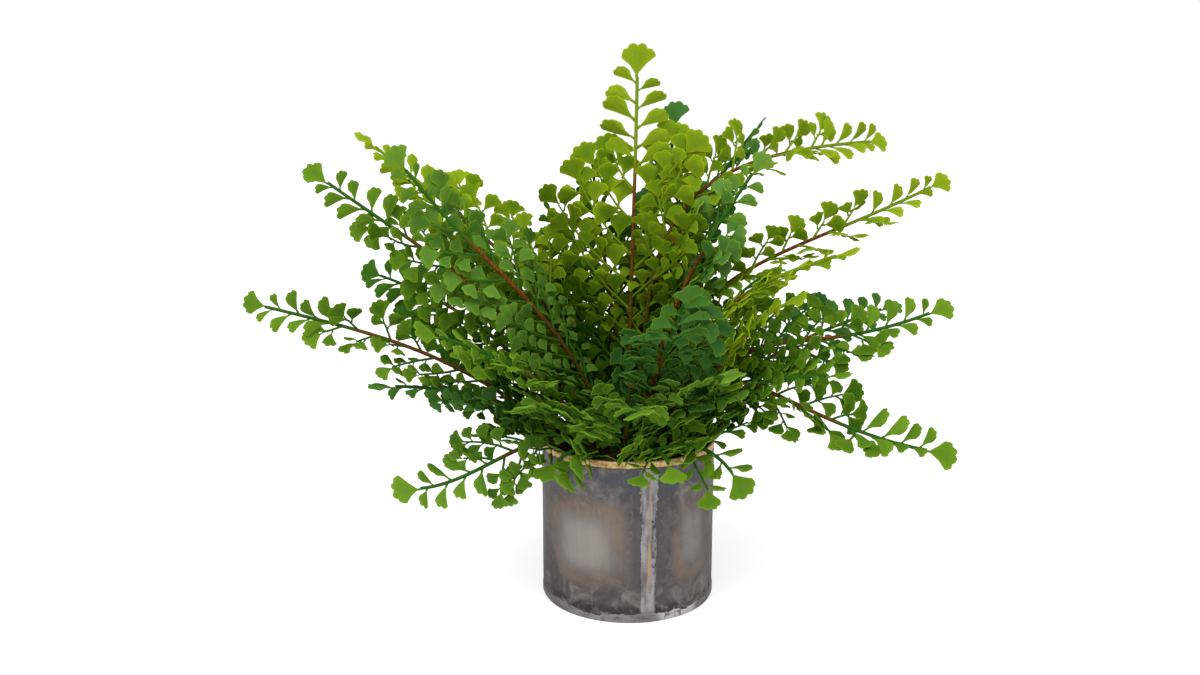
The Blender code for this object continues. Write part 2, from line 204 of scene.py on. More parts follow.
def surface(material, flow, shader, look, skin, rough, relief):
    bump = flow.bump(relief, look["bumpStrength"], look["bumpHeight"])
    return feed(material, shader, {"Base Color": skin, "Roughness": rough, "Normal": bump})


leafLooks = {  # each tone's deep and light green, its dark green for painted shade, its margin and its twigs
    "bright": {"deep": (0.120, 0.220, 0.0030), "light": (0.285, 0.415, 0.0090),
               "shadeGreen": (0.016, 0.055, 0.0008), "rim": (0.42, 0.58, 0.025), "twig": (0.200, 0.320, 0.012)},
    "mid": {"deep": (0.046, 0.124, 0.0035), "light": (0.160, 0.305, 0.0130),
            "shadeGreen": (0.009, 0.040, 0.0008), "rim": (0.22, 0.42, 0.030), "twig": (0.040, 0.140, 0.014)},
    "dark": {"deep": (0.018, 0.070, 0.0040), "light": (0.064, 0.182, 0.0130),
             "shadeGreen": (0.005, 0.026, 0.0010), "rim": (0.11, 0.28, 0.025), "twig": (0.026, 0.092, 0.014)},
}
leafFinish = {  # colours and shares that all tones have in common
    "coolDeep": (0.030, 0.118, 0.034),
    "coolLight": (0.104, 0.278, 0.090),
    "coolShare": 0.6,
    "bark": (0.275, 0.085, 0.020),
    "darkBark": (0.105, 0.034, 0.011),
    "rust": (0.330, 0.085, 0.010),
    "rustShare": 0.8,
    "rimShare": 0.60,
    "rimWidth": 0.055,
    "veinTurns": 94,  # radians of vein pattern across a fan
    "veinShare": 0.12,
    # shares of painted light at frond ends and painted shade at frond feet
    "paintedLightShare": 0.75,
    "paintedShadeShare": 0.72,
    "cloudScale": 60,
    "fleckScale": 900,
    "rustScale": 48,
    "roughness": 0.40,
    "bumpStrength": 0.30,
    "bumpHeight": 0.00012,
}


def leafMaterial(tone):
    look = {**leafFinish, **leafLooks[tone]}
    material, flow, shader = newMaterial("leaf_" + tone, {"Specular IOR Level": 0.0})
    place = flow.place()
    fan = flow.node("UVMap", {"uv_map": "fan"})
    across = fan.part("X")
    reach = fan.part("Y")
    draw = flow.attribute("draw")
    cool = flow.attribute("cool")
    # above zero a painted shade, below zero a painted light
    paintedShading = flow.attribute("paintedShading")
    stem = flow.attribute("stem")
    cloud = flow.grain(place, look["cloudScale"], 3)
    fleck = flow.grain(place, look["fleckScale"], 2)
    side = across.least(1 - across) * reach * 1.5
    fromEdge = side.least(1 - reach)
    middle = fromEdge.step(0.04, 0.34)  # the blade is cooler and deeper inside its margin
    share = draw * 0.80 + cloud * 0.70 - 0.20 - middle * 0.22
    warm = share.blend(look["deep"], look["light"])
    cold = share.blend(look["coolDeep"], look["coolLight"])
    green = (cool * look["coolShare"] + middle * 0.16).blend(warm, cold)
    vein = (across * look["veinTurns"] + cloud * 3).sine()
    veinShare = vein.step(0.35, 1.0) * reach.step(0.1, 0.4) * look["veinShare"]
    green = veinShare.blend(green, look["rim"])
    rim = (1 - fromEdge.step(0.010, look["rimWidth"])) * look["rimShare"]
    green = rim.blend(green, look["rim"])
    base = reach.step(0.0, 0.28, 0.45, 0.0)
    green = base.blend(green, look["twig"])
    rust = flow.grain(place, look["rustScale"], 2).step(0.69, 0.74)  # here and there, on a few leaves
    rust = rust * draw.step(0.45, 0.55) * reach.step(0.2, 0.5) * look["rustShare"]
    green = rust.blend(green, look["rust"])
    bark = fleck.step(0.35, 0.65).blend(look["darkBark"], look["bark"])
    twig = (stem - 1).blend(look["twig"], bark)
    skin = (stem * 4).blend(green, twig)
    skin = (paintedShading * -look["paintedLightShare"]).blend(skin, look["rim"])  # painted light: a frond's end is lighter
    # painted shade: darker towards a frond's foot and down its stem
    skin = (paintedShading * look["paintedShadeShare"]).blend(skin, look["shadeGreen"])
    rough = cloud * 0.16 + look["roughness"]
    return surface(material, flow, shader, look, skin, rough, vein * reach * 0.7 + fleck * 0.5)


leafMaterials = {tone: leafMaterial(tone) for tone in leafLooks}

steelFinish = {
    "shade": (0.104, 0.094, 0.096),
    "plain": (0.225, 0.198, 0.186),
    "pale": (0.430, 0.398, 0.358),
    "heat": (0.330, 0.228, 0.165),
    "blue": (0.092, 0.104, 0.132),
    "sunk": (0.048, 0.042, 0.044),
    "metallic": 0.66,
    "slowScale": 22,
    "cloudScale": 55,
    "fineScale": 420,
    "streakScale": 210,
    "streakStretch": (1, 1, 0.10),
    "panelCorner": 4,  # a higher power makes squarer heat marks
    "heatShare": 0.60,
    "blueShare": 0.85,
    "mistShare": 0.32,
    "seamBlue": 0.7,
    "lowPale": 0.36,
    "footLine": 0.80,
    "blueHeights": (0.082, 0.108),
    "mistHeights": (0.074, 0.096),
    "besideSeam": (6, 20),
    "nearSeam": (10, 34),
    "seamBlueHeights": (0.086, 0.100),
    "lowHeights": (0.018, 0.034),
    "footLineHeights": (0.0100, 0.0150),
    "scuffShare": 0.20,
    "bumpStrength": 0.25,
    "bumpHeight": 0.00022,
}
heatPanels = (  # turn and half width in degrees, lowest and highest point in metres, strength
    (-121, 27, 0.029, 0.085, 0.90),
    (-45, 14, 0.030, 0.086, 0.55),
    (15, 20, 0.030, 0.084, 0.70),
    (80, 24, 0.026, 0.088, 0.90),
    (150, 20, 0.030, 0.082, 0.70),
)


def turnFlow(flow, place):  # degrees round the pot at a point
    return flow.maths("ARCTAN2", place.part("Y"), place.part("X")) * (180 / math.pi)


def heatMarks(turn, height, slow, cloud):  # each panel's pale middle and the brown fringe round it
    corner = steelFinish["panelCorner"]
    glow = None
    fringe = None
    for middle, half, low, high, strength in heatPanels:
        off = abs(turn - middle) / half
        rise = abs(height - (low + high) / 2) / ((high - low) / 2)
        far = (off ** corner + rise ** corner) ** (1 / corner) + (slow - 0.5) * 0.7 + (cloud - 0.5) * 0.45
        inside = (1 - far.step(0.30, 1.02)) * strength
        ring = far.step(0.60, 0.92) * (1 - far.step(0.95, 1.30))
        glow = inside if glow is None else glow.most(inside)
        fringe = ring if fringe is None else fringe.most(ring)
    return glow, fringe


def steelMaterial():
    look = steelFinish
    material, flow, shader = newMaterial("aged_steel", {"Metallic": look["metallic"]})
    place = flow.place()
    height = place.part("Z")
    turn = turnFlow(flow, place)
    slow = flow.grain(place, look["slowScale"], 4, 0.55, 0.8)
    cloud = flow.grain(place, look["cloudScale"], 6, 0.66, 1.4)
    fine = flow.grain(place, look["fineScale"], 5, 0.6)
    streak = flow.grain(flow.squeezed(place, look["streakStretch"]), look["streakScale"], 4)
    base = (cloud * 0.7 + slow * 0.3).step(0.38, 0.62).blend(look["shade"], look["plain"])
    glow, fringe = heatMarks(turn, height, slow, cloud)
    skin = (fringe * slow.step(0.30, 0.60) * look["heatShare"]).blend(base, look["heat"])
    skin = (glow * (0.84 + streak * 0.2)).blend(skin, look["pale"])
    under = height.step(*look["blueHeights"]) * cloud.step(0.62, 0.40) * look["blueShare"]
    skin = under.blend(skin, look["blue"])  # blued under the bead
    mist = height.step(*look["mistHeights"]) * cloud.step(0.54, 0.68) * look["mistShare"]
    skin = mist.blend(skin, look["pale"])
    away = abs(turn - seamTurn)
    beside = (1 - away.step(*look["besideSeam"])) * (0.45 + cloud * 0.6)
    skin = beside.blend(skin, look["shade"])
    high = (1 - away.step(*look["nearSeam"])) * height.step(*look["seamBlueHeights"])
    skin = (high * cloud.step(0.66, 0.44) * look["seamBlue"]).blend(skin, look["blue"])
    low = height.step(*look["lowHeights"], 1.0, 0.0) * cloud.step(0.48, 0.66) * look["lowPale"]
    skin = low.blend(skin, look["pale"])
    sunk = (1 - height.step(*look["footLineHeights"])) * cloud.step(0.66, 0.46) * look["footLine"]
    skin = sunk.blend(skin, look["sunk"])  # the dark line over the foot band
    scuff = (streak * fine).step(0.30, 0.42) * look["scuffShare"]
    skin = scuff.blend(skin, look["pale"])
    rough = cloud * 0.20 + fine * 0.14 + 0.28
    return surface(material, flow, shader, look, skin, rough, fine * 0.6 + streak * 0.4)


solderFinish = {
    "dull": (0.185, 0.168, 0.172),
    "clean": (0.445, 0.420, 0.440),
    "smear": (0.660, 0.625, 0.660),
    "footDull": (0.180, 0.160, 0.148),
    "brassLine": (0.560, 0.360, 0.170),
    "pit": (0.050, 0.044, 0.046),
    "hole": (0.040, 0.036, 0.040),
    "metallic": 0.45,
    "cloudScale": 130,
    "fineScale": 620,
    "seamStreaks": 330,
    "footStreaks": 420,
    "seamStretch": (1, 1, 0.14),
    "footStretch": (0.25, 0.25, 1),
    "footEdge": (0.0078, 0.0100),
    "smearTurn": -57,
    "smearEdge": (10, 20),
    "faintTurn": -112,
    "faintEdge": (14, 30),
    "faintShare": 0.25,
    "footDullShare": 0.60,
    "lineEdge": (0.00070, 0.00125),  # from the seam's middle
    "lineWander": 0.0036,
    "lineStart": (0.022, 0.034),
    "lineFade": (0.066, 0.054),
    "lineShare": 0.95,
    "holeTurns": (1.2, 2.0),  # the holes lie on one side of the line
    "holeLow": (0.036, 0.044),
    "holeHigh": (0.090, 0.080),
    "holeShare": 0.9,
    "bumpStrength": 0.55,
    "bumpHeight": 0.0004,
}


def solderMaterial():
    look = solderFinish
    material, flow, shader = newMaterial("solder", {"Metallic": look["metallic"]})
    place = flow.place()
    height = place.part("Z")
    turn = turnFlow(flow, place)
    cloud = flow.grain(place, look["cloudScale"], 5, 0.66, 0.8)
    fine = flow.grain(place, look["fineScale"], 4, 0.6)
    foot = 1 - height.step(*look["footEdge"])
    seamStreak = flow.grain(flow.squeezed(place, look["seamStretch"]), look["seamStreaks"], 4)
    footStreak = flow.grain(flow.squeezed(place, look["footStretch"]), look["footStreaks"], 4)
    streak = foot.blend(seamStreak, footStreak).part("X")
    base = (streak * 0.6 + cloud * 0.4).step(0.36, 0.62).blend(look["dull"], look["clean"])
    smear = 1 - abs(turn - look["smearTurn"]).step(*look["smearEdge"])
    faint = 1 - abs(turn - look["faintTurn"]).step(*look["faintEdge"])
    smear = smear.most(look["faintShare"] * faint)
    base = (foot * smear * cloud.step(0.36, 0.50)).blend(base, look["smear"])
    base = (foot * (1 - smear) * look["footDullShare"]).blend(base, look["footDull"])
    across = (turn - seamTurn) * (math.radians(1) * wallRadius)  # metres from the seam's middle
    offLine = abs(across + (cloud - 0.5) * look["lineWander"])
    line = (1 - offLine.step(*look["lineEdge"])) * height.step(*look["lineStart"])
    line = line * (height.step(*look["lineFade"], 0.50, 1.0) + (streak - 0.5) * 2.2)
    base = (line * look["lineShare"]).blend(base, look["brassLine"])
    speck = fine.step(0.28, 0.38).most(cloud.step(0.30, 0.36) * 0.7)
    base = speck.blend(look["pit"], base)
    aside = (turn - seamTurn).step(*look["holeTurns"])
    aside = aside * height.step(*look["holeLow"]) * height.step(*look["holeHigh"])
    hole = aside * cloud.step(0.50, 0.42) * fine.step(0.56, 0.48)
    base = (hole * (1 - foot) * look["holeShare"]).blend(base, look["hole"])
    rough = cloud * 0.25 + 0.38
    return surface(material, flow, shader, look, base, rough, fine * 0.6 + streak + cloud)


brassFinish = {
    "low": (0.520, 0.300, 0.105),
    "high": (0.960, 0.680, 0.320),
    "pit": (0.230, 0.110, 0.045),
    "crest": (0.260, 0.120, 0.060),
    "crestShare": 0.5,
    "crestDepths": (0.0011, 0.0002),  # below the bead's top
    "metallic": 0.78,
    "cloudScale": 210,
    "fineScale": 900,
    "bumpStrength": 0.6,
    "bumpHeight": 0.0004,
}


def brassMaterial():
    look = brassFinish
    material, flow, shader = newMaterial("aged_brass", {"Metallic": look["metallic"]})
    place = flow.place()
    height = place.part("Z")
    cloud = flow.grain(place, look["cloudScale"], 5, 0.65)
    fine = flow.grain(place, look["fineScale"], 3)
    base = cloud.step(0.30, 0.68).blend(look["low"], look["high"])
    pit = fine.step(0.30, 0.46)
    base = pit.blend(look["pit"], base)
    crest = height.step(*(beadHigh.z - depth for depth in look["crestDepths"]))
    base = (crest * look["crestShare"]).blend(base, look["crest"])
    rough = cloud * 0.25 + 0.30
    return surface(material, flow, shader, look, base, rough, cloud + fine * 0.5)


soilFinish = {
    "wet": (0.008, 0.006, 0.005),
    "dry": (0.052, 0.032, 0.020),
    "fibre": (0.16, 0.095, 0.05),
    "fibreShare": 0.7,
    "cloudScale": 120,
    "fineScale": 700,
    "bumpStrength": 0.8,
    "bumpHeight": 0.0010,
}


def soilMaterial():
    look = soilFinish
    material, flow, shader = newMaterial("potting_soil", {"Specular IOR Level": 0.2})
    place = flow.place()
    cloud = flow.grain(place, look["cloudScale"], 6, 0.7)
    fine = flow.grain(place, look["fineScale"], 4, 0.7)
    base = cloud.step(0.3, 0.7).blend(look["wet"], look["dry"])
    fibre = fine.step(0.60, 0.72)
    base = (fibre * look["fibreShare"]).blend(base, look["fibre"])
    rough = cloud * 0.1 + 0.86
    return surface(material, flow, shader, look, base, rough, fine + cloud)


steel = steelMaterial()
solder = solderMaterial()
brass = brassMaterial()
earth = soilMaterial()
print("materials made")


# pot

potShape = {
    "steps": 144,
    "wallRows": 30,
    "innerRow": 0.06,
    "footRound": 0.0012,
    "dent": 0.00018,
    "dentSize": 0.035,
    "dentOutside": 0.05,
    "dentAbove": 0.002,
}


def turned(profile, steps):  # a closed body turned about Z from (radius, height) points
    bm = bmesh.new()
    verts = [bm.verts.new((radius, 0.0, height)) for radius, height in profile]
    edges = [bm.edges.new(pair) for pair in zip(verts, verts[1:])]
    bmesh.ops.spin(bm, geom=verts + edges, cent=(0, 0, 0), axis=(0, 0, 1),
                   angle=math.tau, steps=steps, use_merge=True)
    bmesh.ops.remove_doubles(bm, verts=bm.verts, dist=0.00001)
    bmesh.ops.recalc_face_normals(bm, faces=bm.faces)
    return bm


def makePot():
    shape = potShape
    inside = wallRadius - wallThickness
    low = shape["footRound"]
    top = potHigh.z
    rows = shape["wallRows"]
    profile = [(0.0, potLow.z), (wallRadius - low, potLow.z)]
    profile += [(wallRadius, low + (top - low) * i / rows) for i in range(rows + 1)]
    profile += [(inside, top), (inside, shape["innerRow"])]
    profile += [(inside, floorThickness), (0.0, floorThickness)]
    bm = turned(profile, shape["steps"])
    for vert in bm.verts:
        out = vert.co.xy.length
        if out > shape["dentOutside"] and vert.co.z > shape["dentAbove"]:
            push = wobble(vert.co, shape["dentSize"]) * shape["dent"]
            vert.co.xy *= 1 + push / out
    return dress(finishPiece(bm, "pot_wall", steel), "pot_steel", "pot")


def wrapped(columns, rows, mapping):  # a thin closed strip that mapping lays on the pot, point by point
    bm = bmesh.new()
    bmesh.ops.create_grid(bm, x_segments=columns, y_segments=rows, size=0.5)
    bmesh.ops.solidify(bm, geom=bm.verts[:] + bm.edges[:] + bm.faces[:], thickness=0.1)
    middle = sum(vert.co.z for vert in bm.verts) / len(bm.verts)
    outer = max(bm.verts, key=lambda vert: vert.co.z).co.z
    for vert in bm.verts:
        isOuter = abs(vert.co.z - outer) < abs(vert.co.z - outer + 2 * (outer - middle))
        vert.co = mapping(vert.co.x + 0.5, vert.co.y + 0.5, isOuter)
    bmesh.ops.remove_doubles(bm, verts=bm.verts, dist=0.000002)
    bmesh.ops.recalc_face_normals(bm, faces=bm.faces)
    return bm


seamShape = {
    "width": 0.0200,
    "low": 0.0006,
    "below": 0.0001,  # under the pot's upper edge
    "half": 0.0052,
    "topWider": 0.0020,
    "widening": (0.070, 0.112),  # heights over which it grows wider
    "jag": 0.0021,
    "roughening": (0.045, 0.085),  # heights over which its edges grow more ragged
    "edge": 0.0009,
    "lump": 0.00024,
    "smallLump": 0.00010,
    "proud": 0.00070,
    "bury": 0.00045,
    "columns": 44,
    "rows": 240,
}


def seamHalf(height, way):  # half its width at a height, on one side
    shape = seamShape
    half = shape["half"] + shape["topWider"] * smoothStep(*shape["widening"], height)
    ragged = shape["jag"] * (0.35 + 0.85 * smoothStep(*shape["roughening"], height))
    half += 0.7 * shape["jag"] * wobble((way, 0, height), 0.0160)
    half += 0.5 * ragged * wobble((way, 1, height), 0.0031)
    return half + 0.45 * ragged * wobble((way, 2, height), 0.0011)


def makeSeam():
    shape = seamShape
    low = potLow.z + shape["low"]
    top = potHigh.z - shape["below"]

    def lay(across, along, isOuter):
        side = (across - 0.5) * shape["width"]
        turn = seamTurn + math.degrees(side / wallRadius)
        height = low + (top - low) * along
        if not isOuter:
            return polar(wallRadius - shape["bury"] * 2, turn, height)
        share = (seamHalf(height, 3.0 if side > 0 else -3.0) - abs(side)) / shape["edge"]
        lump = wobble((side, 5, height * 0.3), 0.0022) * shape["lump"]
        lump += wobble((side, 7, height), 0.0011) * shape["smallLump"]
        lift = (shape["proud"] + shape["bury"] + lump) * smoothStep(-0.6, 1.2, share)
        return polar(wallRadius - shape["bury"] + lift, turn, height)

    bm = wrapped(shape["columns"], shape["rows"], lay)
    return dress(finishPiece(bm, "solder_seam", solder, 60), "pot_steel")


footShape = {
    "low": 0.0001,
    "top": 0.0125,
    "height": 0.0072,
    "jag": 0.0032,
    "edge": (-0.0004, 0.0018),
    "round": 0.0007,
    "roundHeight": 0.0014,
    "lump": 0.00010,
    "proud": 0.00034,
    "bury": 0.0004,
    "columns": 420,
    "rows": 18,
}


def makeFootBand():
    shape = footShape
    low = potLow.z + shape["low"]

    def lay(across, along, isOuter):
        turn = across * 360
        height = low + (shape["top"] - low) * along
        if not isOuter:
            return polar(wallRadius - shape["bury"] * 2, turn, height)
        ring = polar(wallRadius, turn)
        jags = wobble(ring, 0.016) + 0.45 * wobble(ring, 0.0028, 3)
        edge = shape["height"] + shape["jag"] * jags
        rounding = shape["round"] * (1 - smoothStep(0.0, shape["roundHeight"], height))
        lump = wobble((ring.x, ring.y, height), 0.003) * shape["lump"]
        lift = (shape["proud"] + shape["bury"] + lump) * smoothStep(*shape["edge"], edge - height)
        return polar(wallRadius - shape["bury"] + lift - rounding, turn, height)

    bm = wrapped(shape["columns"], shape["rows"], lay)
    return dress(finishPiece(bm, "foot_band", solder, 60), "pot_steel")


beadShape = {
    "steps": 220,
    "inset": 0.0002,
    "width": 0.0026,
    "dent": 0.00028,
    "dentSize": 0.0042,
}


def makeBead():
    low, high = beadLow.z, beadHigh.z
    outside = potRadius - beadShape["inset"]
    inside = outside - beadShape["width"]
    rise = high - low
    profile = [
        (inside + 0.0006, low),
        (outside - 0.0003, low),
        (outside, low + rise * 0.10),
        (outside, low + rise * 0.34),
        (outside, low + rise * 0.58),
        (outside - 0.0001, low + rise * 0.78),
        (outside - 0.0004, low + rise * 0.91),
        (outside - 0.0009, high - 0.0001),
        (inside + 0.0010, high - 0.0001),
        (inside + 0.0003, low + rise * 0.90),
        (inside, low + rise * 0.76),
        (inside, low + rise * 0.30),
        (inside + 0.0006, low),
    ]
    bm = turned(profile, beadShape["steps"])
    for vert in bm.verts:
        ring = vert.co.xy.length
        push = wobble(vert.co, beadShape["dentSize"]) * beadShape["dent"]
        vert.co.xy *= 1 + push / ring
        vert.co.z -= abs(wobble(vert.co, beadShape["dentSize"] * 2, 4)) * beadShape["dent"]
    return dress(finishPiece(bm, "brass_bead", brass, 60), "rim_brass", "rim_bead")


soilShape = {
    "gap": 0.0006,
    "edgeTop": 0.1015,
    "crown": 0.0055,
    "steps": 90,
    "ringStep": 0.0018,
    "lump": 0.0011,
    "lumpSizes": (0.009, 0.0035),
    "seed": 7,
    "crumbs": 420,
    "crumbSize": 0.0011,
    "crumbRise": 0.0002,
    "crumbArea": 0.97,
}


def soilHeight(radius):
    share = radius / wallRadius
    return soilShape["edgeTop"] + soilShape["crown"] * (1 - share * share)


def addCrumbs(bm, outside):
    draw = random.Random(soilShape["seed"])
    for _ in range(soilShape["crumbs"]):
        radius = outside * soilShape["crumbArea"] * math.sqrt(draw.random())
        turn = draw.uniform(0, 360)
        size = soilShape["crumbSize"] * draw.uniform(0.4, 1.3)
        shape = Matrix.Diagonal((size, size * draw.uniform(0.6, 1.0), size * draw.uniform(0.5, 0.9), 1))
        spot = Matrix.Translation(polar(radius, turn, soilHeight(radius) + soilShape["crumbRise"]))
        spin = Matrix.Rotation(draw.uniform(0, 6), 4, (draw.random(), draw.random(), 0.4))
        bmesh.ops.create_icosphere(bm, subdivisions=1, radius=1.0, matrix=spot @ spin @ shape)


def makeSoil():
    outside = wallRadius - wallThickness - soilShape["gap"]
    floor = soilLow.z
    rings = int(outside / soilShape["ringStep"])
    profile = [(0.0, floor), (outside, floor)]
    profile += [(outside * i / rings, soilHeight(outside * i / rings)) for i in range(rings, -1, -1)]
    bm = turned(profile, soilShape["steps"])
    coarse, fine = soilShape["lumpSizes"]
    for vert in bm.verts:
        out = vert.co.xy.length
        if vert.co.z > floor + 0.01 and out < outside - 0.0005:
            lump = wobble(vert.co, coarse) + 0.5 * wobble(vert.co, fine)
            vert.co.z += lump * soilShape["lump"]
    addCrumbs(bm, outside)
    return dress(finishPiece(bm, "soil_top", earth, 30), "soil", "soil")


makePot()
makeSeam()
makeFootBand()
makeBead()
makeSoil()
print("pot, bead and soil made")


# leaflets: one small fan of each kind, which the fronds repeat

leafletKinds = {
    # spread in degrees; lobes and notches along the outer edge; round draws the two corners in;
    # lean, cup and wave are shares of the length
    "tip": {"spread": 90, "lobes": 4, "notch": 0.08, "round": 0.20, "lean": 0.03,
            "cup": 0.06, "wave": 0.030, "stalk": 0.06, "thick": 0.034},
    "single": {"spread": 46, "lobes": 3, "notch": 0.06, "round": 0.26, "lean": 0.17,
               "cup": 0.05, "wave": 0.022, "stalk": 0.12, "thick": 0.028},
    "side": {"spread": 78, "lobes": 3, "notch": 0.06, "round": 0.25, "lean": 0.06,
             "cup": 0.08, "wave": 0.030, "stalk": 0.17, "thick": 0.036},
}
fanShape = {
    "rings": (0.0, 0.55, 1.0),
    "tipCorner": 1.3,
    "backCorner": 0.7,
    "pinch": 0.88,  # draws the middle ring together
    "stalkInto": 0.10,
    "stalkFoot": 0.052,
    "stalkEnd": 0.036,
    "stalkMap": (0.5, 0.12),
}


def fanReach(shape, step, segments, share):
    # how far the margin lies from the foot; share is -1 at the side towards the tip and 1 at the other
    corner = shape["round"] * fanShape["tipCorner" if share < 0 else "backCorner"]
    reach = (1 + shape["lean"] * share) * (1 - corner * abs(share) ** 3)
    if step % 3 == 0 and 0 < step < segments:
        return reach * (1 - shape["notch"])
    return reach


def layFan(bm, half):  # the fan's own map: across it, and out from its foot to its margin
    fan = bm.loops.layers.uv.new("fan")
    for face in bm.faces:
        spread = [math.atan2(loop.vert.co.x, loop.vert.co.y) for loop in face.loops
                  if loop.vert.co.xy.length > 0.1]
        middle = sum(spread) / len(spread)
        for loop in face.loops:
            place = loop.vert.co
            angle = math.atan2(place.x, place.y) if place.xy.length > 0.1 else middle
            loop[fan].uv = (angle / half / 2 + 0.5, place.xy.length)


def shapeFan(bm, shape, half, segments, way):  # lobes, notches, cup and wave
    blade = 1 - shape["stalk"]
    for vert in bm.verts:
        radius = vert.co.xy.length
        angle = math.atan2(vert.co.x, vert.co.y)
        share = angle / half * way
        step = round((share + 1) / 2 * segments)
        margin = fanReach(shape, step, segments, share)
        smooth = fanReach(shape, 1, segments, share)
        outer = smoothStep(0.5, 1.0, radius)
        reach = radius * (smooth + (margin - smooth) * outer) * blade
        if 0.3 < radius < 0.8:
            angle *= fanShape["pinch"]
        rise = shape["cup"] * (1 - share * share) * radius - shape["cup"] * 4 * (radius - 0.5) ** 2
        rise += shape["wave"] * math.sin(share * 7 + way) * outer
        vert.co = (reach * math.sin(angle), shape["stalk"] + reach * math.cos(angle), vert.co.z + rise)


def addStalk(bm, shape):  # the slender stalk that carries the fan, running a little way into it
    length = shape["stalk"] + fanShape["stalkInto"]
    below = shape["thick"] / 2 + shape["cup"] * 0.9
    place = Matrix.Translation((0, length / 2, -below)) @ turnBy(-90, "X")
    known = set(bm.verts)
    bmesh.ops.create_cone(bm, cap_ends=True, segments=4, radius1=fanShape["stalkFoot"],
                          radius2=fanShape["stalkEnd"], depth=length, matrix=place)
    fresh = [vert for vert in bm.verts if vert not in known]
    fan = bm.loops.layers.uv.verify()
    for face in {face for vert in fresh for face in vert.link_faces}:
        for loop in face.loops:
            loop[fan].uv = fanShape["stalkMap"]


def makeLeaflet(kind, way):
    # a unit fan along +Y with its stalk's foot at the origin; way is its side of the stem
    shape = leafletKinds[kind]
    segments = shape["lobes"] * 3
    half = math.radians(shape["spread"]) / 2
    bm = bmesh.new()
    turnBack = Matrix.Rotation(half, 3, "Z")
    verts = [bm.verts.new(turnBack @ Vector((0, radius, 0))) for radius in fanShape["rings"]]
    edges = [bm.edges.new(pair) for pair in zip(verts, verts[1:])]
    bmesh.ops.spin(bm, geom=verts + edges, cent=(0, 0, 0), axis=(0, 0, 1),
                   angle=-2 * half, steps=segments)
    bmesh.ops.remove_doubles(bm, verts=bm.verts, dist=0.0001)
    bmesh.ops.recalc_face_normals(bm, faces=bm.faces)
    if next(iter(bm.faces)).normal.z < 0:
        bmesh.ops.reverse_faces(bm, faces=bm.faces)
    bmesh.ops.solidify(bm, geom=bm.verts[:] + bm.edges[:] + bm.faces[:], thickness=shape["thick"])
    layFan(bm, half)
    shapeFan(bm, shape, half, segments, way)
    addStalk(bm, shape)
    mesh = bpy.data.meshes.new("leaflet_" + kind)
    bm.to_mesh(mesh)
    bm.free()
    return mesh


leaflets = {(kind, way): makeLeaflet(kind, way) for kind in leafletKinds for way in (1, -1)}
print("leaflets made:", {key[0]: len(mesh.polygons) for key, mesh in leaflets.items()})
